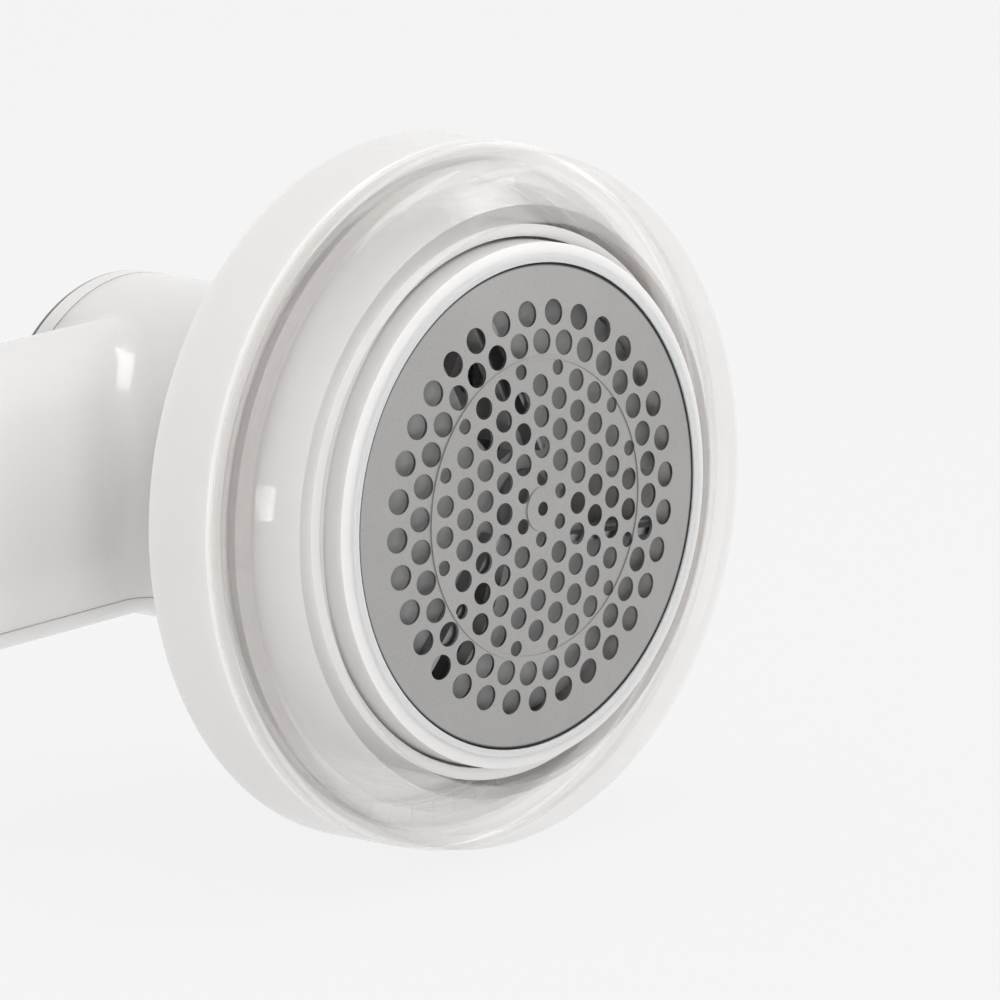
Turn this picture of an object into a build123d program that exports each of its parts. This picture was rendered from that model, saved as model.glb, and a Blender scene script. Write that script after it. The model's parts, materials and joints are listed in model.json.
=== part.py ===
from build123d import *
import os
from math import cos, hypot, radians, sin, sqrt

# Fabric shaver: a round shaving head on a short barrel, and an oval battery handle.
#
# Millimetres. The head turns about Y and its foil faces -Y. The handle runs along -X.
# Z is normal to the plane of symmetry. The origin is on the head's axis, in the plane
# where the clear guard rests on the white height dial.

# ---- Driving dimensions ----------------------------------------------------------------
HEAD_MARGIN = 11.0  # from the foil's sight edge out to the guard's and dial's rim
DIAL_LENGTH = 8.5
DIAL_WALL = 2.0
DIAL_TURN = 60.0  # degrees from the low stop to the high stop
GUARD_TRAVEL = 3.0  # how far the guard rises over that turn
GUARD_WALL = 1.6
GUARD_FLANGE_T = 1.55  # thin flange of the guard beside the dial

FOIL_SIGHT_R = 24.0  # radius of the foil that shows inside its ring
FOIL_PLANE = -9.5  # front plane of the foil ring
FOIL_T = 0.3
FOIL_DOME = 2.0  # rise of the dome over the sight radius
FOIL_RIM = 0.7  # flat rim of the foil, trapped in its ring
HOLE_PITCH = 3.03
FOIL_CLOCKING = 4.8  # degrees that the hole pattern is turned from the handle's square
RING_HOLES = 32

ROTOR_R = 21.0
ROTOR_DEPTH = 2.4  # from the foil's inner face back to the rotor disc
ROTOR_T = 1.6
ROTOR_CLOCKING = 112.0  # direction of the first slot, degrees from +X towards +Z
SLOT_W = 5.2
BLADES = 3
BLADE_T = 0.7

BARREL_R = 17.0
BARREL_END = 44.5  # rear face of the barrel, where the lint cup seats
CUP_FLANGE_T = 3.0
WALL = 1.8  # casing wall
COVER_DEPTH = 3.2  # how deep the side cover is, from the handle's outside to the seam
SEAM_GAP = 0.12
JUNCTION_FILLET = 4.0

HANDLE_ROOM_Y = 2.35  # from a cell's surface to the handle's outside
HANDLE_ROOM_Z = 7.75
HANDLE_END = 141.0  # distance from the head's axis to the end of the casing
CAP_LENGTH = 6.5
CELL_R = 7.25
CELL_LENGTH = 50.5
CELLS = 2

MOTOR_R = 10.0
MOTOR_HALF_FLAT = 7.55
MOTOR_LENGTH = 25.0
SHAFT_R = 1.0

SWITCH_TRAVEL = 4.0
KNOB_LENGTH = 8.0
KNOB_WIDTH = 6.4

# ---- Clearances ------------------------------------------------------------------------
RUN = 0.03  # radial clearance of a shaft in its bush
FIT = 0.02  # between two pieces that stay together
SLIDE = 0.3  # between curved faces that slide or lift past each other
EASE = 0.1  # between flat faces of two moving pieces

# ---- Derived places --------------------------------------------------------------------
HEAD_R = FOIL_SIGHT_R + HEAD_MARGIN
GUARD_BORE_R = FOIL_SIGHT_R + 3.7
GUARD_FACE_R = HEAD_R - 2.6  # where the guard's front face meets its shoulder
GUARD_SKIRT_R = HEAD_R - 0.5
HANDLE_HALF_Z = CELL_R + HANDLE_ROOM_Z
HANDLE_HALF_Y = CELL_R + HANDLE_ROOM_Y
SEAM_Z = COVER_DEPTH - HANDLE_HALF_Z  # the plane where the side cover meets the body shell
CELL_CHAIN = CELLS * CELL_LENGTH
DISC_BACK = DIAL_LENGTH  # the housing's back plate ends flush with the dial
DISC_T = 2.0
DISC_FRONT = DISC_BACK - DISC_T
BORE_R = BARREL_R - WALL
CUP_END = BARREL_END + CUP_FLANGE_T
HANDLE_Y = CUP_END - HANDLE_HALF_Y  # the handle's back is flush with the lint cup
LIP_T = 0.25
FOIL_FRONT = FOIL_PLANE + LIP_T  # the foil's front face at its rim
SPHERE_R = (FOIL_SIGHT_R**2 + FOIL_DOME**2) / (2 * FOIL_DOME)
COLLAR_TOP = FOIL_FRONT + FOIL_T + 0.9
COLLAR_R = FOIL_SIGHT_R + 0.4
COLLAR_WALL = 2.4
RING_R = FOIL_SIGHT_R + 1.9
FOIL_R = FOIL_SIGHT_R + FOIL_RIM
GUIDE_R = GUARD_BORE_R - SLIDE
GUIDE_WALL = 1.2
GUIDE_TOP = -6.3
RING_END = -3.0  # the foil ring's skirt ends here
LEDGE_Y = RING_END + 0.4  # ledge between the collar and the guide wall, under the skirt
MOTOR_FRONT = DISC_BACK
MOTOR_BACK = MOTOR_FRONT + MOTOR_LENGTH
HUB_R = 3.6
HUB_BACK = -1.2
BLADE_GAP = SLIDE  # the blades' edges run this far behind the foil
CELL_START = HANDLE_END - 2.0 - CELL_CHAIN  # distance of the first cell's end
PARTITION = CELL_START - 0.6
PARTITION_T = 1.2
KNOB_LAP = 1.2  # the knob's plate reaches this far past the knob at the back
KNOB_X = -(PARTITION - PARTITION_T - 0.4 - KNOB_LAP - KNOB_LENGTH / 2)
SHELF_Y = -0.15


def turned(*corners):
    """Solid of revolution about Y, from (radius, y) corners."""
    return revolve(make_face(Polyline(*corners, close=True)), Axis.Y)


def tube(r_in, r_out, y0, y1):
    """Ring about Y between two radii and two heights."""
    return turned((r_in, y0), (r_out, y0), (r_out, y1), (r_in, y1))


def rod(r, y0, y1, x=0.0, z=0.0):
    """Round bar along Y."""
    return Pos(x, (y0 + y1) / 2, z) * (Rot(90, 0, 0) * Cylinder(r, y1 - y0))


def block(x0, x1, y0, y1, z0, z1):
    """Box between two corners."""
    centre = Pos((x0 + x1) / 2, (y0 + y1) / 2, (z0 + z1) / 2)
    return centre * Box(x1 - x0, y1 - y0, z1 - z0)


def spoke(angle):
    """Rotation that carries +X to an angle, in degrees, towards +Z."""
    return Rot(0, -angle, 0)


def ring_sector(r_in, r_out, y0, y1, middle, sweep):
    """Part of a ring about Y, centred on an angle."""
    section = Polyline((r_in, y0), (r_out, y0), (r_out, y1), (r_in, y1), close=True)
    return spoke(middle + sweep / 2) * revolve(make_face(section), Axis.Y, sweep)


def polar(radius, angle):
    """The (x, z) place at a radius and an angle in degrees."""
    return radius * cos(radians(angle)), radius * sin(radians(angle))


def handle_bar(inset, start, end):
    """Oval bar along -X, between two distances from the head's axis."""
    plane = Plane(origin=(-start, HANDLE_Y, 0), x_dir=(0, 0, 1), z_dir=(-1, 0, 0))
    return extrude(plane * Ellipse(HANDLE_HALF_Z - inset, HANDLE_HALF_Y - inset), end - start)


def along_handle(r, start, end, z=0.0):
    """Round bar along -X at the handle's centre line."""
    return Pos(0, HANDLE_Y, z) * (Rot(0, 0, 90) * rod(r, start, end))


def dome_y(r, behind=0.0):
    """Height of the foil's front face at a radius, or of a face parallel to it."""
    return FOIL_FRONT - FOIL_DOME + SPHERE_R - sqrt(SPHERE_R**2 - r**2) + behind


def dome_arc(r_in, r_out, behind):
    """Arc parallel to the foil, from one radius to another."""
    middle = (r_in + r_out) / 2
    points = [(r, dome_y(r, behind)) for r in (r_in, middle, r_out)]
    return ThreePointArc(*points)


def domed_disc(r_in, r_out, behind, thickness):
    """Disc of even thickness that follows the foil's dome."""
    front = dome_arc(r_in, r_out, behind)
    back = dome_arc(r_in, r_out, behind + thickness)
    rim = Line((r_out, dome_y(r_out, behind)), (r_out, dome_y(r_out, behind + thickness)))
    core = Line((r_in, dome_y(r_in, behind)), (r_in, dome_y(r_in, behind + thickness)))
    return revolve(make_face(front + rim + back + core), Axis.Y)


# ---- Foil ------------------------------------------------------------------------------
BIG_HOLE = 0.724 * HOLE_PITCH
SMALL_HOLE = 0.506 * HOLE_PITCH
OUTER_RING = (6.33 * HOLE_PITCH, 0.837 * HOLE_PITCH, 82.45)
INNER_RING = (5.40 * HOLE_PITCH, 0.816 * HOLE_PITCH, 88.11)
LAST_BIG_ROW = 19.5  # squared radius, in pitches, of the field of large holes
LAST_ROW = 21.5  # squared radius of the small holes that finish it
EYELET_HOLE = 0.7
EYELET_R = 2.2
RIDGE_R = 14.8


def foil_hole_places():
    """(x, z, diameter) of every hole: a hexagonal field inside two rings."""
    places = []
    for column in range(-5, 6):
        for row in range(-6, 7):
            x = column * cos(radians(30))
            z = row + 0.5 * (column % 2)
            square = x * x + z * z
            if square < 0.1 or square > LAST_ROW:
                continue
            small = square < 1.5 or square > LAST_BIG_ROW
            size = SMALL_HOLE if small else BIG_HOLE
            places.append((x * HOLE_PITCH, z * HOLE_PITCH, size))
    for radius, size, first in (OUTER_RING, INNER_RING):
        for step in range(RING_HOLES):
            x, z = polar(radius, first + step * 360 / RING_HOLES)
            places.append((x, z, size))
    return places


def foil():
    """Domed perforated foil with a flat rim, a stiffening ridge and a pressed eyelet."""
    sheet = domed_disc(0, FOIL_SIGHT_R - 0.05, 0, FOIL_T)
    sheet += tube(FOIL_SIGHT_R - 0.2, FOIL_R, FOIL_FRONT, FOIL_FRONT + FOIL_T)
    ridge_y = dome_y(RIDGE_R)
    sheet += tube(RIDGE_R - 0.2, RIDGE_R + 0.2, ridge_y - 0.12, ridge_y + FOIL_T / 2)
    sheet += tube(0, EYELET_R, dome_y(0) - 0.12, dome_y(0) + FOIL_T / 2)
    deep = (dome_y(0) - 1, FOIL_FRONT + 1)
    holes = [rod(size / 2, *deep, x=x, z=z) for x, z, size in foil_hole_places()]
    holes.append(rod(EYELET_HOLE, *deep))
    return Rot(0, FOIL_CLOCKING, 0) * (sheet - holes)


def foil_ring():
    """White ring that holds the foil and pulls off the collar."""
    groove = FOIL_R + 0.1
    bead = FOIL_FRONT + FOIL_T + 0.5
    skirt = COLLAR_R + SLIDE
    return turned(
        (FOIL_SIGHT_R, FOIL_PLANE), (FOIL_SIGHT_R + 0.6, FOIL_PLANE),
        (RING_R, FOIL_PLANE + 0.6), (RING_R, RING_END), (skirt, RING_END), (skirt, bead),
        (FOIL_SIGHT_R, bead), (FOIL_SIGHT_R, FOIL_FRONT + FOIL_T),
        (groove, FOIL_FRONT + FOIL_T), (groove, FOIL_FRONT), (FOIL_SIGHT_R, FOIL_FRONT),
    )


# ---- Guard and height dial -------------------------------------------------------------
TONGUE_R = HEAD_R - DIAL_WALL - SLIDE
TONGUE_WALL = 1.5
TONGUE_END = 4.6
DIAL_LIP_FRONT = 4.9
FEET = 3
CAM_STEPS = 12
FOOT_SWEEP = 16.0
CAM_LAP = 0.2  # how far the cams run into the dial's wall and lip
TONGUE_SHORT = DIAL_LIP_FRONT - GUARD_TRAVEL - 0.1  # the tongue's end between its feet


def guard_ring():
    """Clear stepped guard: inner skirt, sloped face, round shoulder, flange and tongue."""
    face_in = FOIL_PLANE + 1.0
    face_out = FOIL_PLANE + 2.3
    inner = GUARD_BORE_R + GUARD_WALL
    outer = HEAD_R - GUARD_WALL - 0.2
    flange_y = SHELF_Y - GUARD_FLANGE_T
    shoulder = ThreePointArc(
        (GUARD_FACE_R, face_out), (GUARD_SKIRT_R - 0.5, face_out + 0.95),
        (GUARD_SKIRT_R, face_out + 2.6),
    )
    lower = Polyline(
        (GUARD_SKIRT_R, face_out + 2.6), (GUARD_SKIRT_R, flange_y), (HEAD_R, flange_y),
        (HEAD_R, SHELF_Y), (TONGUE_R, SHELF_Y),
        (TONGUE_R, TONGUE_SHORT), (TONGUE_R - TONGUE_WALL, TONGUE_SHORT),
        (TONGUE_R - TONGUE_WALL, SHELF_Y - GUARD_WALL), (outer, SHELF_Y - GUARD_WALL),
        (outer, face_out + 3.0), (GUARD_FACE_R - 0.6, face_out + 1.7),
        (inner, face_in + 1.9), (inner, 3.0), (GUARD_BORE_R, 3.0),
        (GUARD_BORE_R, face_in), (GUARD_FACE_R, face_out),
    )
    section = make_face(shoulder + lower)
    front = [v for v in section.vertices() if v.Y < face_out + 0.01]
    section = fillet(front, 0.3)
    guard = revolve(section, Axis.Y)
    for foot in range(FEET):
        guard += ring_sector(TONGUE_R - TONGUE_WALL + FIT, TONGUE_R - FIT, TONGUE_SHORT - 0.5,
                             TONGUE_END, foot * 360 / FEET, FOOT_SWEEP)
    return guard


def height_dial():
    """White dial ring, with an inner lip and three stepped cams that lift the guard."""
    inner = HEAD_R - DIAL_WALL
    lip_r = TONGUE_R - TONGUE_WALL
    dial = turned(
        (inner, 0.4), (inner + 0.4, 0), (HEAD_R - 0.4, 0), (HEAD_R, 0.4),
        (HEAD_R, DIAL_LENGTH - 0.4), (HEAD_R - 0.4, DIAL_LENGTH), (inner, DIAL_LENGTH),
        (inner, DIAL_LIP_FRONT + 1.3), (lip_r, DIAL_LIP_FRONT + 1.3),
        (lip_r, DIAL_LIP_FRONT), (inner, DIAL_LIP_FRONT),
    )
    step = DIAL_TURN / CAM_STEPS
    cams = []
    for foot in range(FEET):
        for i in range(1, CAM_STEPS):
            rise = GUARD_TRAVEL * i / CAM_STEPS
            middle = foot * 360 / FEET + FOOT_SWEEP / 2 + (i + 0.5) * step
            cams.append(ring_sector(lip_r + CAM_LAP, inner + CAM_LAP, DIAL_LIP_FRONT - rise,
                                    DIAL_LIP_FRONT + CAM_LAP, middle, step + 0.2))
    return dial + cams


# ---- Head housing ----------------------------------------------------------------------
HOUSING_RIM_R = HEAD_R - DIAL_WALL - SLIDE
BACK_RISE = 3.2  # the domed back of the head rises this far up the barrel
PORT_R = (9.0, 14.2)
PORT_SWEEP = 66.0
BOSS_CIRCLE_R = 13.4
BOSS_R = 1.8
SCREW_R = 1.0
MOTOR_BOSS_R = 3.1
MOTOR_SCREW_X = 8.0


def boss_places(radius=BOSS_CIRCLE_R):
    """Places of the four screws that hold the head housing."""
    return [polar(radius, 45 + 90 * i) for i in range(4)]


def head_housing():
    """White cutter chamber with its collar, guide wall and domed back plate."""
    dome = ThreePointArc(
        (HOUSING_RIM_R, DISC_BACK), (HOUSING_RIM_R - 5.5, DISC_BACK + BACK_RISE * 0.72),
        (BARREL_R + FIT, DISC_BACK + BACK_RISE),
    )
    section = Polyline(
        (BARREL_R + FIT, DISC_BACK + BACK_RISE), (BARREL_R + FIT, DISC_BACK),
        (0, DISC_BACK), (0, DISC_FRONT), (COLLAR_R - COLLAR_WALL, DISC_FRONT),
        (COLLAR_R - COLLAR_WALL, COLLAR_TOP), (COLLAR_R, COLLAR_TOP),
        (COLLAR_R, LEDGE_Y), (GUIDE_R - GUIDE_WALL, LEDGE_Y),
        (GUIDE_R - GUIDE_WALL, GUIDE_TOP), (GUIDE_R, GUIDE_TOP), (GUIDE_R, DISC_FRONT),
        (HOUSING_RIM_R, DISC_FRONT), (HOUSING_RIM_R, DISC_BACK),
    )
    housing = revolve(make_face(dome + section), Axis.Y)
    through = (DISC_FRONT - 1, DISC_BACK + 1)
    housing -= rod(MOTOR_BOSS_R + FIT, *through)
    for side in (-1, 1):
        housing -= ring_sector(*PORT_R, *through, 90 * side, PORT_SWEEP)
        housing -= rod(SCREW_R + 0.15, *through, x=side * MOTOR_SCREW_X)
        housing -= rod(SCREW_R + 1.0, DISC_FRONT - 1, DISC_FRONT + 0.9, x=side * MOTOR_SCREW_X)
    for x, z in boss_places():
        housing -= rod(SCREW_R + 0.15, *through, x=x, z=z)
        housing -= rod(SCREW_R + 1.0, DISC_FRONT - 1, DISC_FRONT + 0.9, x=x, z=z)
    return housing


def pan_screw(length):
    """Small pan-head screw along +Y, with a cross recess; its head seats at y = 0."""
    screw = rod(SCREW_R, 0, length) + rod(SCREW_R + 0.8, -0.8, 0)
    for turn in (0, 90):
        screw -= Rot(0, turn, 0) * block(-1.1, 1.1, -0.9, -0.4, -0.2, 0.2)
    return screw


# ---- Blade rotor -----------------------------------------------------------------------
def blade_angle(i):
    """Direction of a slot of the rotor."""
    return ROTOR_CLOCKING + i * 360 / BLADES


def blade_rotor():
    """Three broad sectors on a hub plate, with a slot in front of each blade."""
    behind = FOIL_T + ROTOR_DEPTH
    disc = domed_disc(HUB_R + FIT, ROTOR_R, behind, ROTOR_T)
    half = SLOT_W / 2
    for i in range(BLADES):
        slot = Polyline((HUB_R + 2.0, -1.2), (10, -half), (ROTOR_R + 2, -half),
                        (ROTOR_R + 2, half), (10, half), (HUB_R + 2.0, 1.2), close=True)
        plane = Plane(origin=(0, 0, 0), x_dir=(1, 0, 0), z_dir=(0, -1, 0))
        cut = extrude(plane * make_face(slot), 12)
        disc -= spoke(blade_angle(i)) * cut
    return disc


def rotor_blades():
    """Three upright steel strips, ground to the dome, one beside each slot."""
    strips = []
    room = domed_disc(0, ROTOR_R - 0.2, FOIL_T + BLADE_GAP, ROTOR_DEPTH - BLADE_GAP - FIT)
    z0 = -SLOT_W / 2 - 0.3 - BLADE_T
    for i in range(BLADES):
        strip = block(HUB_R + 1.2, ROTOR_R, dome_y(0), 0, z0, z0 + BLADE_T)
        strips.append(spoke(blade_angle(i)) * strip & room)
    return Compound([s.solid() for s in strips])


def blade_hub():
    """Plastic hub pressed on the shaft, with a flange that carries the spring."""
    front = dome_y(0, FOIL_T + ROTOR_DEPTH - 0.4)
    hub = rod(HUB_R, front, HUB_BACK) + rod(HUB_R + 2.2, HUB_BACK - 1.0, HUB_BACK)
    return hub - rod(SHAFT_R + FIT, front + 1.0, HUB_BACK + 1)


def coil_spring(radius, wire, y0, y1, turns):
    """Round-wire compression spring along Y."""
    length = y1 - y0 - wire
    path = Helix(pitch=length / turns, height=length, radius=radius)
    start = path @ 0
    section = Plane(origin=start, z_dir=path % 0) * Circle(wire / 2)
    coil = sweep(section, path=path, is_frenet=True)
    return Pos(0, y1 - wire / 2, 0) * (Rot(90, 0, 0) * coil)


# ---- Motor -----------------------------------------------------------------------------
CAN_WALL = 0.8
ARMATURE_R = 6.2
END_BELL_T = 2.2


def motor_profile(inset, y0, y1):
    """Round bar with two flats, the shape of a small motor's can."""
    flat = MOTOR_HALF_FLAT - inset
    bar = rod(MOTOR_R - inset, y0, y1)
    return bar & block(-MOTOR_R, MOTOR_R, y0, y1, -flat, flat)


def motor_can():
    """Pressed steel can, with a nose boss in front and an open back."""
    can = motor_profile(0, MOTOR_FRONT, MOTOR_BACK) + rod(MOTOR_BOSS_R, DISC_FRONT, MOTOR_FRONT)
    can -= motor_profile(CAN_WALL, MOTOR_FRONT + CAN_WALL, MOTOR_BACK + 1)
    can -= rod(2.2 + FIT, DISC_FRONT - 1, MOTOR_FRONT + CAN_WALL + 1)
    for side in (-1, 1):
        screw_hole = rod(SCREW_R + FIT, MOTOR_FRONT - 1, MOTOR_FRONT + 2, x=side * MOTOR_SCREW_X)
        can -= screw_hole
    return can


def motor_magnets():
    """Two curved magnets against the round sides of the can."""
    pair = []
    for side in (0, 180):
        arc = ring_sector(ARMATURE_R + 0.5, MOTOR_R - CAN_WALL - FIT,
                          MOTOR_FRONT + 4, MOTOR_BACK - 6, side, 80)
        pair.append(arc.solid())
    return Compound(pair)


def motor_armature():
    """Three-pole armature with its windings."""
    start, end = MOTOR_FRONT + 4, MOTOR_BACK - 6
    core = rod(ARMATURE_R, start, end) - rod(SHAFT_R + FIT, start - 1, end + 1)
    for i in range(3):
        x, z = polar(ARMATURE_R, 60 + 120 * i)
        core -= rod(1.5, start - 1, end + 1, x=x, z=z)
    return core


def motor_end_bell():
    """Plastic end bell that closes the can and carries the rear bush and terminals."""
    bell = motor_profile(0, MOTOR_BACK, MOTOR_BACK + END_BELL_T)
    bell += motor_profile(CAN_WALL + FIT, MOTOR_BACK - 1.5, MOTOR_BACK)
    bell -= rod(SHAFT_R + RUN, MOTOR_BACK - 2, MOTOR_BACK + END_BELL_T + 1)
    for side in (-1, 1):
        z = side * 4.2
        bell -= block(-6.6, -5.9, MOTOR_BACK - 2, MOTOR_BACK + 3, z - 1.3, z + 1.3)
    return bell


def motor_terminals():
    """Two brass tabs through the end bell."""
    tabs = []
    for side in (-1, 1):
        z = side * 4.2
        tabs.append(block(-6.5, -6.0, MOTOR_BACK - 1.2, MOTOR_BACK + 3.2, z - 1.2, z + 1.2).solid())
    return Compound(tabs)


def motor_sleeve():
    """Soft holder round the can, with two fins that locate it in the barrel."""
    y0, y1 = MOTOR_FRONT + 0.5, MOTOR_BACK - 3
    flat = MOTOR_HALF_FLAT + 1.1
    sleeve = rod(MOTOR_R + 1.1, y0, y1) & block(-20, 20, y0, y1, -flat, flat)
    for side in (-1, 1):
        inner, outer = side * MOTOR_R, side * (BORE_R - 0.1)
        sleeve += block(min(inner, outer), max(inner, outer), y0, y1, -1.2, 1.2)
    return sleeve - motor_profile(-FIT, y0 - 1, y1 + 1)


# ---- Casing ----------------------------------------------------------------------------
RIB_PLACES = (CELL_START + 6.0, CELL_START + CELL_CHAIN / 2, HANDLE_END - 9.0)
RIB_T = 5.0
PILOT_DEPTH = 4.4
LEAD_Y = MOTOR_BACK + 3.2
LEAD_Z = 4.2
LEAD_R = 0.6
SEAL_R = (BORE_R, BORE_R + 1.1)
SEAL_T = 0.9


def casing_outside():
    """Barrel and handle as one filleted body, cut flush behind the lint cup."""
    barrel = rod(BARREL_R, DISC_BACK, CUP_END + 3 * HANDLE_HALF_Y)
    handle = handle_bar(0, 0, HANDLE_END)
    body = barrel + handle
    meeting = [
        edge for edge in body.edges()
        if abs(hypot((edge @ 0.5).X, (edge @ 0.5).Z) - BARREL_R) < 0.01
        and abs((edge @ 0.5).Y - HANDLE_Y) < HANDLE_HALF_Y + 0.01
        and (edge @ 0.5).X < -1
    ]
    body = fillet(meeting, JUNCTION_FILLET)
    body -= block(-2 * HANDLE_END, 99, CUP_END, CUP_END + 99, -99, 99)
    return body - rod(BARREL_R + 0.15, BARREL_END, CUP_END + 9)


def casing():
    """Hollow casing of one wall, with its bosses, ribs and partition, before the split."""
    body = casing_outside()
    body -= rod(BORE_R, DISC_BACK - 1, CUP_END)
    hollow = handle_bar(WALL, 0, HANDLE_END + 1) - rod(BARREL_R + WALL, 0, CUP_END + 20)
    cell_bay = along_handle(CELL_R + 0.2, PARTITION, HANDLE_END + 5)
    body -= hollow
    under = block(-HANDLE_END, 0, 0, 99, SEAM_Z, -CELL_R + 1.5)
    for place in RIB_PLACES:
        slab = block(-place - RIB_T / 2, -place + RIB_T / 2, 0, 99, -99, 99)
        body += (handle_bar(WALL - 0.1, 0, HANDLE_END) & slab & under) - cell_bay
    wall = block(-PARTITION, -PARTITION + PARTITION_T, 0, 99, SEAM_Z, 99)
    body += handle_bar(WALL - 0.1, 0, HANDLE_END) & wall
    strip_z = CELL_R + 0.5
    body -= block(-PARTITION - 1, -PARTITION + PARTITION_T + 1, HANDLE_Y - 2, HANDLE_Y + 2,
                  strip_z - 0.5, strip_z + 1.0)
    for x, z in boss_places():
        boss = rod(BOSS_R, DISC_BACK, DISC_BACK + 8, x=x, z=z)
        boss += rod(BOSS_R, DISC_BACK, DISC_BACK + 8, x=x * 1.08, z=z * 1.08)
        body += boss & rod(BORE_R + 0.1, DISC_BACK, DISC_BACK + 8)
        body -= rod(SCREW_R + FIT, DISC_BACK - 1, DISC_BACK + 7, x=x, z=z)
    body -= tube(*SEAL_R, BARREL_END - SEAL_T, BARREL_END + 1)
    for side in (-1, 1):
        lead = Rot(0, 0, 90) * rod(LEAD_R + 0.3, BORE_R - 4, PARTITION + 3)
        body -= Pos(0, LEAD_Y, side * LEAD_Z) * lead
    return body


def switch_window():
    """Opening for the slide knob, long enough for its travel."""
    x0 = KNOB_X - KNOB_LENGTH / 2 - SLIDE
    x1 = KNOB_X + KNOB_LENGTH / 2 + SWITCH_TRAVEL + SLIDE
    half = KNOB_WIDTH / 2 + SLIDE
    return block(x0, x1, HANDLE_Y + 2, CUP_END + 1, -half, half)


def below_seam(top):
    """Everything under a height."""
    return block(-2 * HANDLE_END, 99, -99, 99 + CUP_END, -99, top)


def body_shell(case):
    """Main shell: all of the casing above the seam."""
    shell = case - below_seam(SEAM_Z) - switch_window()
    for place in RIB_PLACES:
        pilot = Pos(-place, HANDLE_Y, SEAM_Z) * Cylinder(SCREW_R + FIT, PILOT_DEPTH * 2)
        shell -= pilot
    return shell


COVER_TOP = SEAM_Z - SEAM_GAP
HEAD_SEAT_Z = -HANDLE_HALF_Z + 1.7


def side_cover(case):
    """Shallow cover that closes the casing under the seam, with three screw posts."""
    cover = case & below_seam(COVER_TOP)
    for place in RIB_PLACES:
        post = Pos(-place, HANDLE_Y, 0) * Cylinder(3.0, 80)
        cover += post & handle_bar(WALL - 0.1, 0, HANDLE_END) & below_seam(COVER_TOP)
        cover -= Pos(-place, HANDLE_Y, 0) * Cylinder(SCREW_R + 0.15, 80)
        cover -= Pos(-place, HANDLE_Y, HEAD_SEAT_Z - 10) * Cylinder(SCREW_R + 1.2, 20)
    return cover


def case_screws():
    """Three screws that hold the side cover to the body shell."""
    group = []
    for place in RIB_PLACES:
        screw = Rot(90, 0, 0) * pan_screw(-COVER_TOP - CELL_R - 2.0 + 2.4)
        group.append((Pos(-place, HANDLE_Y, HEAD_SEAT_Z) * screw).solid())
    return Compound(group)


# ---- Lint cup --------------------------------------------------------------------------
CUP_R = BORE_R - SLIDE
CUP_WALL = 1.3
CUP_MOUTH = MOTOR_BACK + 4.2


def lint_cup():
    """Smoked cup that plugs into the back of the barrel and pulls out to be emptied."""
    rim = fillet_rim(rod(BARREL_R, BARREL_END + 0.15, CUP_END))
    cup = rim + tube(CUP_R - CUP_WALL, CUP_R, CUP_MOUTH, BARREL_END + 1)
    return cup - rod(CUP_R - CUP_WALL, CUP_MOUTH - 1, CUP_END - 1.6)


def fillet_rim(disc):
    """Round the rear edge of the cup's flange."""
    return fillet(disc.edges().group_by(Axis.Y)[-1], 1.0)


def lint_seal():
    """Rubber ring between the cup's flange and the barrel."""
    return tube(SEAL_R[0] + 0.05, SEAL_R[1] - 0.05, BARREL_END - SEAL_T, BARREL_END)


# ---- Switch ----------------------------------------------------------------------------
KNOB_PROUD = 1.4
SWITCH_TOP = HANDLE_Y + HANDLE_HALF_Y - WALL - 1.6


def switch_knob():
    """Ribbed thumb knob on a plate that slides under the wall."""
    half = KNOB_WIDTH / 2
    ends = (KNOB_X - KNOB_LENGTH / 2, KNOB_X + KNOB_LENGTH / 2)
    knob = block(*ends, SWITCH_TOP, CUP_END + KNOB_PROUD, -half, half)
    knob = fillet(knob.edges().filter_by(Axis.Y), 1.5)
    front = -BARREL_R - WALL - 0.4 - SWITCH_TRAVEL
    plate = block(ends[0] - KNOB_LAP, front, SWITCH_TOP, SWITCH_TOP + 0.9, -half - 1, half + 1)
    for i in range(-2, 3):
        x = KNOB_X + i * 1.7
        knob -= block(x - 0.35, x + 0.35, CUP_END + KNOB_PROUD - 0.5, CUP_END + 9, -9, 9)
    return knob + plate


def switch_body():
    """Slide switch under the knob, with its two tails."""
    top = SWITCH_TOP - SLIDE
    box = block(KNOB_X - 4.5, KNOB_X + 6.5, LEAD_Y + 2.0, top, -4.8, 4.8)
    for side in (-1, 1):
        z = side * LEAD_Z
        box += block(KNOB_X - 1, KNOB_X + 1, LEAD_Y - 0.6, LEAD_Y + 2.5, z - 0.5, z + 0.5)
    return box


# ---- Battery bay -----------------------------------------------------------------------
def battery_cell(index):
    """Round cell with its raised contact towards the head."""
    start = CELL_START + index * CELL_LENGTH
    body = along_handle(CELL_R, start + 1.2, start + CELL_LENGTH - 0.1)
    return body + along_handle(2.7, start + 0.1, start + 1.3)


def contact_plate():
    """Positive contact against the partition."""
    plate = block(-PARTITION - 0.45, -PARTITION - 0.05, HANDLE_Y - 4.5, HANDLE_Y + 4.5, -4.5, 4.5)
    return plate


def battery_cap():
    """Rounded end cap with two tongues that plug into the handle."""
    start = HANDLE_END + EASE
    cap = handle_bar(0, start, HANDLE_END + CAP_LENGTH)
    cap = fillet(cap.edges().group_by(Axis.X)[0], 3.0)
    tongue = handle_bar(WALL + 0.2, HANDLE_END - 5, start + 0.1) - handle_bar(WALL + 1.5, 0, 999)
    middle = block(-999, 0, -99, 99, -CELL_R - 0.9, CELL_R + 0.9)
    low = block(-999, 0, -99, 99, -99, SEAM_Z + 0.4)
    pocket = along_handle(CELL_R, 0, HANDLE_END + 3.4)
    return cap + (tongue - middle - low) - pocket


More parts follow.
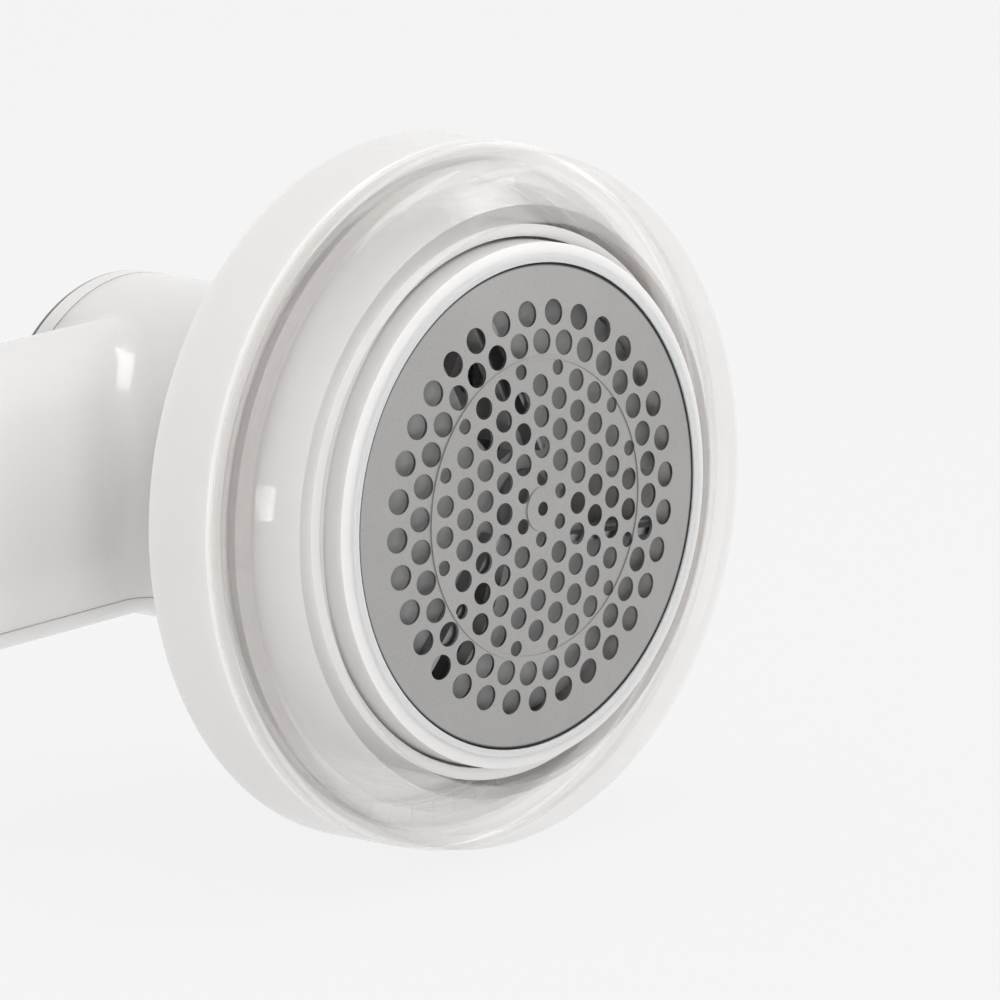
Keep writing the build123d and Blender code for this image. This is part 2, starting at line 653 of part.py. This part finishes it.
def cap_spring():
    """Negative contact spring in the cap."""
    y0 = CELL_START + CELL_CHAIN + 0.05
    coil = coil_spring(3.4, 0.7, y0, HANDLE_END + 3.35, 3.5)
    return Pos(0, HANDLE_Y, 0) * (Rot(0, 0, 90) * coil)


def bus_strip():
    """Brass strip that joins the cap's contact to the switch."""
    z0 = CELL_R + 0.5
    return block(-HANDLE_END + 5.5, KNOB_X + 4, HANDLE_Y - 1.5, HANDLE_Y + 1.5, z0, z0 + 0.4)


def motor_leads():
    """Two insulated leads from the switch bay to the motor's terminals."""
    leads = []
    for side in (-1, 1):
        lead = Rot(0, 0, 90) * rod(LEAD_R, 6.6, -KNOB_X - 1.1)
        leads.append((Pos(0, LEAD_Y, side * LEAD_Z) * lead).solid())
    return Compound(leads)


def head_screws():
    """Four screws from the chamber floor into the barrel's bosses."""
    group = [Pos(x, DISC_FRONT + 0.9, z) * pan_screw(7) for x, z in boss_places()]
    return Compound([g.solid() for g in group])


def motor_screws():
    """Two screws from the chamber floor into the motor's face."""
    places = [Pos(side * MOTOR_SCREW_X, DISC_FRONT + 0.9, 0) for side in (-1, 1)]
    return Compound([(place * pan_screw(2.6)).solid() for place in places])


case = casing()
pieces = {
    "foil": foil(),
    "foil_ring": foil_ring(),
    "guard_ring": guard_ring(),
    "height_dial": height_dial(),
    "head_housing": head_housing(),
    "head_screws": head_screws(),
    "blade_rotor": blade_rotor(),
    "rotor_blades": rotor_blades(),
    "blade_hub": blade_hub(),
    "blade_spring": coil_spring(HUB_R + 1.0, 0.5, -5.6, HUB_BACK - 1.05, 3),
    "motor_shaft": rod(SHAFT_R, dome_y(0, FOIL_T + ROTOR_DEPTH) + 1.2, MOTOR_BACK + END_BELL_T + 0.8),
    "motor_armature": motor_armature(),
    "motor_commutator": tube(SHAFT_R + FIT, 2.6, MOTOR_BACK - 5.5, MOTOR_BACK - 2.2),
    "motor_front_bush": tube(SHAFT_R + RUN, 2.2, DISC_FRONT - 0.3, MOTOR_FRONT + 1.4),
    "motor_can": motor_can(),
    "motor_magnets": motor_magnets(),
    "motor_end_bell": motor_end_bell(),
    "motor_terminals": motor_terminals(),
    "motor_sleeve": motor_sleeve(),
    "motor_screws": motor_screws(),
    "motor_leads": motor_leads(),
    "body_shell": body_shell(case),
    "side_cover": side_cover(case),
    "case_screws": case_screws(),
    "lint_cup": lint_cup(),
    "lint_seal": lint_seal(),
    "switch_knob": switch_knob(),
    "switch_body": switch_body(),
    "battery_inner": battery_cell(0),
    "battery_outer": battery_cell(1),
    "contact_plate": contact_plate(),
    "cap_spring": cap_spring(),
    "bus_strip": bus_strip(),
    "battery_cap": battery_cap(),
}

os.makedirs("parts", exist_ok=True)
for name, piece in pieces.items():
    export_step(piece, f"parts/{name}.step")
    print(f"{name:18s} solids {len(piece.solids())}  volume {piece.volume:9.1f}")
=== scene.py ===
import json

import bpy
from mathutils import Matrix, Vector


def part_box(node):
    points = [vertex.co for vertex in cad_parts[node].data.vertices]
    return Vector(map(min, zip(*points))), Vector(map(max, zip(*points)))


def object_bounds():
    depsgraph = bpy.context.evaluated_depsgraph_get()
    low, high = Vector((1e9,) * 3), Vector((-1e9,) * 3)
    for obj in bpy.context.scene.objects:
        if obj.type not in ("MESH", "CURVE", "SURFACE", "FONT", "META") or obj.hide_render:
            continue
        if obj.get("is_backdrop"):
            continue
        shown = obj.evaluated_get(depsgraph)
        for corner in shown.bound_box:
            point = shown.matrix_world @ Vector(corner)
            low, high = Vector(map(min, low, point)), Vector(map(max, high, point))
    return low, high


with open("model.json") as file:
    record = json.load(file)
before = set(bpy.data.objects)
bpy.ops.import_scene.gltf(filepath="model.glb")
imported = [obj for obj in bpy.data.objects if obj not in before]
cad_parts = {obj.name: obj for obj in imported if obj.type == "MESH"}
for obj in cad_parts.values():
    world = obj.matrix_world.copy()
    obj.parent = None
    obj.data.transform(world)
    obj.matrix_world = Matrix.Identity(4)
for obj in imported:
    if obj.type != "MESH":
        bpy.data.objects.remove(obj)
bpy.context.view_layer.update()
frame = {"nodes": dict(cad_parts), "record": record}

# Fabric shaver on its side. Metres, in the CAD frame: the foil faces -Y, the handle runs
# along -X, and +Z is up.

MM = 0.001
nodes = frame["nodes"]

# Linear colours, and widths of the regions that change colour.
WHITE = (0.585, 0.573, 0.562)
WHITE_SHADE = (0.567, 0.556, 0.545)
RIM_SHADOW = (0.03, 0.03, 0.03)
FOIL_TRAPPED = 0.7 * MM  # width of the foil's rim that its ring covers
CUP_END_SHADE = 1.0 * MM  # height of the painted shade band at the cup's end


# ---- Node materials --------------------------------------------------------------------
def new_material(name):
    """An empty node material with one Principled shader."""
    mat = bpy.data.materials.new(name)
    mat.use_nodes = True
    return mat, mat.node_tree, mat.node_tree.nodes["Principled BSDF"]


def noise(tree, scale, detail=3.0, rough=0.5, stretch=(1, 1, 1)):
    """Noise in row coordinates, with cells of about 1/scale metres."""
    coord = tree.nodes.new("ShaderNodeTexCoord")
    mapping = tree.nodes.new("ShaderNodeMapping")
    mapping.inputs["Scale"].default_value = stretch
    tex = tree.nodes.new("ShaderNodeTexNoise")
    tex.inputs["Scale"].default_value = scale
    tex.inputs["Detail"].default_value = detail
    tex.inputs["Roughness"].default_value = rough
    tree.links.new(coord.outputs["Object"], mapping.inputs["Vector"])
    tree.links.new(mapping.outputs["Vector"], tex.inputs["Vector"])
    return tex.outputs["Fac"]


def spread(tree, value, low, high, start=0.3, end=0.7):
    """A number that runs from low to high as value goes from start to end."""
    ramp = tree.nodes.new("ShaderNodeMapRange")
    ramp.inputs["From Min"].default_value = start
    ramp.inputs["From Max"].default_value = end
    ramp.inputs["To Min"].default_value = low
    ramp.inputs["To Max"].default_value = high
    tree.links.new(value, ramp.inputs["Value"])
    return ramp.outputs["Result"]


def blend_colours(tree, value, first, second):
    """Colour between two, by value."""
    mix = tree.nodes.new("ShaderNodeMix")
    mix.data_type = "RGBA"
    mix.inputs["A"].default_value = (*first, 1)
    mix.inputs["B"].default_value = (*second, 1)
    tree.links.new(value, mix.inputs["Factor"])
    return mix.outputs["Result"]


def mixed(tree, value, first, second):
    """Colour between two linked colours, by value."""
    mix = tree.nodes.new("ShaderNodeMix")
    mix.data_type = "RGBA"
    tree.links.new(value, mix.inputs["Factor"])
    tree.links.new(first, mix.inputs["A"])
    tree.links.new(second, mix.inputs["B"])
    return mix.outputs["Result"]


def along(tree, output, axis):
    """One component of an object-space vector: "Object" for place, "Normal" for facing."""
    coord = tree.nodes.new("ShaderNodeTexCoord")
    split = tree.nodes.new("ShaderNodeSeparateXYZ")
    tree.links.new(coord.outputs[output], split.inputs["Vector"])
    return split.outputs[axis]


def bump(tree, shader, height, strength, distance):
    """Surface relief from a height, in metres."""
    node = tree.nodes.new("ShaderNodeBump")
    node.inputs["Strength"].default_value = strength
    node.inputs["Distance"].default_value = distance
    tree.links.new(height, node.inputs["Height"])
    tree.links.new(node.outputs["Normal"], shader.inputs["Normal"])


def radius(tree):
    """Distance from the head's axis, in metres."""
    coord = tree.nodes.new("ShaderNodeTexCoord")
    split = tree.nodes.new("ShaderNodeSeparateXYZ")
    tree.links.new(coord.outputs["Object"], split.inputs["Vector"])
    join = tree.nodes.new("ShaderNodeCombineXYZ")
    tree.links.new(split.outputs["X"], join.inputs["X"])
    tree.links.new(split.outputs["Z"], join.inputs["Y"])
    length = tree.nodes.new("ShaderNodeVectorMath")
    length.operation = "LENGTH"
    tree.links.new(join.outputs["Vector"], length.inputs[0])
    return length.outputs["Value"]


def etched_foil(sight):
    """Foil steel: fine rolled speckle, cloudy stains, and a painted shadow line just inside its
    rim, where the ring covers it.
    """
    mat, tree, shader = new_material("foil_steel")
    speckle = noise(tree, 3800, 4, 0.8)
    cloud = noise(tree, 140, 4, 0.6)
    fine = blend_colours(tree, speckle, (0.51, 0.504, 0.498), (0.39, 0.385, 0.378))
    stain = tree.nodes.new("ShaderNodeMix")
    stain.data_type = "RGBA"
    stain.blend_type = "MULTIPLY"
    stain.inputs["Factor"].default_value = 1.0
    tone = blend_colours(tree, cloud, (1, 1, 1), (0.86, 0.855, 0.85))
    tree.links.new(fine, stain.inputs["A"])
    tree.links.new(tone, stain.inputs["B"])
    # Painted shadow: a near-black ring just inside the trapped rim, for the shade in the gap
    # between foil and ring.
    rim = spread(tree, radius(tree), 0, 1, sight - 0.42 * MM, sight - 0.22 * MM)
    painted_rim_shadow = tree.nodes.new("ShaderNodeMix")
    painted_rim_shadow.data_type = "RGBA"
    painted_rim_shadow.inputs["B"].default_value = (*RIM_SHADOW, 1)
    tree.links.new(rim, painted_rim_shadow.inputs["Factor"])
    tree.links.new(stain.outputs["Result"], painted_rim_shadow.inputs["A"])
    tree.links.new(painted_rim_shadow.outputs["Result"], shader.inputs["Base Color"])
    tree.links.new(spread(tree, speckle, 0.30, 0.46), shader.inputs["Roughness"])
    bump(tree, shader, speckle, 0.15, 0.00001)
    shader.inputs["Metallic"].default_value = 1.0
    return mat


def moulded(name, colour, rough, tint=0.03, grain=0.00002, coat=0.0, glow=0.0):
    """Moulded plastic: slight colour drift, the faint relief of a polished mould, and, by
    its glow, light that spreads under the surface."""
    mat, tree, shader = new_material(name)
    shade = tuple(c * (1 - tint) for c in colour)
    drift = noise(tree, 60, 2)
    tree.links.new(blend_colours(tree, drift, colour, shade), shader.inputs["Base Color"])
    fine = noise(tree, 900, 4)
    tree.links.new(spread(tree, fine, rough * 0.85, rough * 1.25), shader.inputs["Roughness"])
    if grain:
        bump(tree, shader, noise(tree, 350, 3), 0.25, grain)
    shader.inputs["Coat Weight"].default_value = coat
    shader.inputs["Coat Roughness"].default_value = 0.06
    if glow:
        shader.inputs["Subsurface Weight"].default_value = glow
        shader.inputs["Subsurface Radius"].default_value = (1.0, 0.95, 0.9)
        shader.inputs["Subsurface Scale"].default_value = 0.003
    return mat


def metal(name, colour, rough, stretch=(1, 1, 1), scale=1500, tint=0.12):
    """Metal with a fine grain."""
    mat, tree, shader = new_material(name)
    shade = tuple(c * (1 - tint) for c in colour)
    grain = noise(tree, scale, 5, 0.7, stretch)
    tree.links.new(blend_colours(tree, grain, colour, shade), shader.inputs["Base Color"])
    tree.links.new(spread(tree, grain, rough * 0.8, rough * 1.3), shader.inputs["Roughness"])
    bump(tree, shader, grain, 0.2, 0.00002)
    shader.inputs["Metallic"].default_value = 1.0
    return mat


MATERIALS = {
    "white_plastic": moulded("white_abs", WHITE, 0.2, grain=0.000008, coat=0.4, glow=0.6),
    "foil_steel": etched_foil(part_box("foil")[1].x - FOIL_TRAPPED),
    "blade_steel": metal("blade_steel", (0.32, 0.32, 0.325), 0.38),
    "rotor_plastic": moulded("rotor_grey", (0.23, 0.228, 0.225), 0.45, tint=0.1),
    "grey_plastic": moulded("fitting_grey", (0.11, 0.11, 0.115), 0.5, tint=0.1),
    "knob_plastic": moulded("knob_grey", (0.45, 0.45, 0.44), 0.35, coat=0.2),
    "seal_rubber": moulded("seal_rubber", (0.015, 0.015, 0.015), 0.7, tint=0.2),
    "spring_steel": metal("spring_steel", (0.55, 0.55, 0.55), 0.3),
    "motor_steel": metal("motor_steel", (0.5, 0.5, 0.48), 0.35),
    "magnet": moulded("ferrite", (0.03, 0.03, 0.03), 0.6, tint=0.2),
    "copper": metal("winding_copper", (0.6, 0.27, 0.13), 0.35, (1, 8, 1)),
    "bronze": metal("bush_bronze", (0.45, 0.28, 0.1), 0.4),
    "contact_brass": metal("contact_brass", (0.75, 0.58, 0.28), 0.3),
    "screw_steel": metal("screw_zinc", (0.55, 0.55, 0.56), 0.3),
    "lead_sleeve": moulded("lead_red", (0.45, 0.02, 0.015), 0.45, tint=0.1),
    "cell_jacket": moulded("cell_jacket", (0.03, 0.045, 0.08), 0.3, coat=0.3),
}


def end_shaded_cup(end):
    """Lint cup: white down its side, and near-black from its end inwards: painted shade for the
    shadowed rear rim of the barrel.
    """
    mat, tree, shader = new_material("end_shaded_cup")
    drift = noise(tree, 60, 2)
    white = blend_colours(tree, drift, WHITE, WHITE_SHADE)
    # Painted shade: the near-black colour near the cup's end stands in for shadow.
    painted_end_shade = blend_colours(tree, drift, (0.012, 0.012, 0.013), (0.02, 0.02, 0.021))
    start = end - CUP_END_SHADE
    end_shade_mask = spread(tree, along(tree, "Object", "Y"), 0, 1, start - 0.05 * MM, start + 0.05 * MM)
    tree.links.new(mixed(tree, end_shade_mask, white, painted_end_shade), shader.inputs["Base Color"])
    tree.links.new(spread(tree, noise(tree, 900, 4), 0.15, 0.25), shader.inputs["Roughness"])
    bump(tree, shader, noise(tree, 350, 3), 0.25, 0.00002)
    shader.inputs["Coat Weight"].default_value = 0.4
    shader.inputs["Coat Roughness"].default_value = 0.06
    return mat


def clear_guard():
    """Clear polycarbonate: faint warm milk, and a greyer copy of it on faces turned away from
    the axis, painted shade for the light lost in them.
    """
    mat, tree, shader = new_material("clear_guard")
    haze = noise(tree, 45, 1)
    milk = blend_colours(tree, haze, (0.945, 0.93, 0.917), (0.91, 0.895, 0.882))
    # Painted shade: darker milk for side faces, blended in by how far the normal turns from
    # +-Y.
    wall_painted_shade = blend_colours(tree, haze, (0.64, 0.61, 0.59), (0.54, 0.51, 0.49))
    facing = tree.nodes.new("ShaderNodeMath")
    facing.operation = "ABSOLUTE"
    tree.links.new(along(tree, "Normal", "Y"), facing.inputs[0])
    front = spread(tree, facing.outputs["Value"], 0, 1, 0.25, 0.75)
    tree.links.new(mixed(tree, front, wall_painted_shade, milk), shader.inputs["Base Color"])
    tree.links.new(spread(tree, front, 0.36, 0.24, 0.0, 1.0), shader.inputs["Alpha"])
    shader.inputs["Roughness"].default_value = 0.05
    shader.inputs["Transmission Weight"].default_value = 0.25
    shader.inputs["IOR"].default_value = 1.45
    shader.inputs["Coat Weight"].default_value = 0.6
    shader.inputs["Coat Roughness"].default_value = 0.02
    return mat


MATERIALS["clear_plastic"] = clear_guard()
# The lint cup's slot: white with a painted shade band at its end.
MATERIALS["smoke_plastic"] = end_shaded_cup(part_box("lint_cup")[1].y)

# The foil's ring is duller than the casing, and its white is a darker copy of the casing's:
# painted shade.
RING_SHADED_WHITE = moulded(
    "ring_shaded_white", (0.54, 0.53, 0.522), 0.4, tint=0.015, grain=0.0, coat=0.15, glow=0.6
)

for part in frame["record"]["subparts"]:
    mesh = nodes[part["node"]].data
    mesh.materials.clear()
    mesh.materials.append(MATERIALS[part["material_slot"]])
# The foil's ring takes the darker, painted-shade copy of the white.
nodes["foil_ring"].data.materials[0] = RING_SHADED_WHITE


# ---- Camera ----------------------------------------------------------------------------
RIGHT = Vector((0.682, -0.730, -0.040)).normalized()
BACK = Vector((-0.707, -0.672, 0.220)).normalized()
RIGHT = (RIGHT - BACK * RIGHT.dot(BACK)).normalized()
UP = BACK.cross(RIGHT)
VIEW_WIDTH = 97.56 * MM
LENS = 500.0
distance = VIEW_WIDTH * LENS / 36.0
foil_centre = Vector((0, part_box("foil_ring")[0].y, 0))
aim = foil_centre - RIGHT * 2.83 * MM + UP * 0.63 * MM
camera_data = bpy.data.cameras.new("camera")
camera_data.lens = LENS
camera_data.sensor_width = 36.0
camera_data.clip_start = 0.01
camera_data.clip_end = 100.0
camera = bpy.data.objects.new("camera", camera_data)
bpy.context.scene.collection.objects.link(camera)
place = Matrix((RIGHT, UP, BACK)).transposed().to_4x4()
place.translation = aim + BACK * distance
camera.matrix_world = place
bpy.context.scene.camera = camera
bpy.context.scene.view_settings.view_transform = "Standard"


# ---- Floor and light -------------------------------------------------------------------
def stage_plane(name, size, z, level):
    """Pale floor, mostly self-lit so that it stays even."""
    data = bpy.data.meshes.new(name)
    half = size / 2
    corners = [(-half, -half, z), (half, -half, z), (half, half, z), (-half, half, z)]
    data.from_pydata(corners, [], [(0, 1, 2, 3)])
    floor = bpy.data.objects.new(name, data)
    bpy.context.scene.collection.objects.link(floor)
    mat, tree, shader = new_material(name)
    shader.inputs["Base Color"].default_value = (0.04, 0.04, 0.04, 1)
    shader.inputs["Roughness"].default_value = 1.0
    shader.inputs["Specular IOR Level"].default_value = 0.0
    shader.inputs["Emission Color"].default_value = (level, level, level, 1)
    shader.inputs["Emission Strength"].default_value = 1.0
    data.materials.append(mat)
    floor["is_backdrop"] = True
    return floor


def area_light(name, place_mm, target_mm, size_mm, watts, mirrored=True):
    """Rectangular soft light, aimed at a point, that may show in glossy surfaces."""
    data = bpy.data.lights.new(name, "AREA")
    data.shape = "RECTANGLE"
    data.size, data.size_y = size_mm[0] * MM, size_mm[1] * MM
    data.energy = watts
    lamp = bpy.data.objects.new(name, data)
    bpy.context.scene.collection.objects.link(lamp)
    lamp.location = Vector(place_mm) * MM
    aim_at = Vector(target_mm) * MM - lamp.location
    lamp.rotation_euler = aim_at.to_track_quat("-Z", "Y").to_euler()
    lamp.visible_glossy = mirrored
    return lamp


GREY = 0.882  # linear level of the plain background
FLOOR_SIZE = 60.0
FLOOR_GAP = 0.2 * MM
stage_plane("floor", FLOOR_SIZE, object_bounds()[0].z - FLOOR_GAP, GREY * 0.97)
world = bpy.data.worlds.new("studio")
bpy.context.scene.world = world
world.use_nodes = True
sky = world.node_tree.nodes["Background"]
sky.inputs["Color"].default_value = (GREY, GREY, GREY, 1)
sky.inputs["Strength"].default_value = 1.08

# Place, target and size in millimetres, then watts.
area_light("key", (120, -60, 520), (0, 0, 0), (320, 320), 1.25)
area_light("fill", (-400, -440, 30), (-70, 0, -10), (300, 160), 2.1, mirrored=False)
area_light("front", (40, -560, 20), (10, 0, 0), (320, 260), 0.8, mirrored=False)
area_light("card", (140, -135, 95), (0, 0, 20), (60, 60), 0.03)
area_light("strip", (-420, -480, 20), (-40, 30, 0), (16, 90), 0.1)
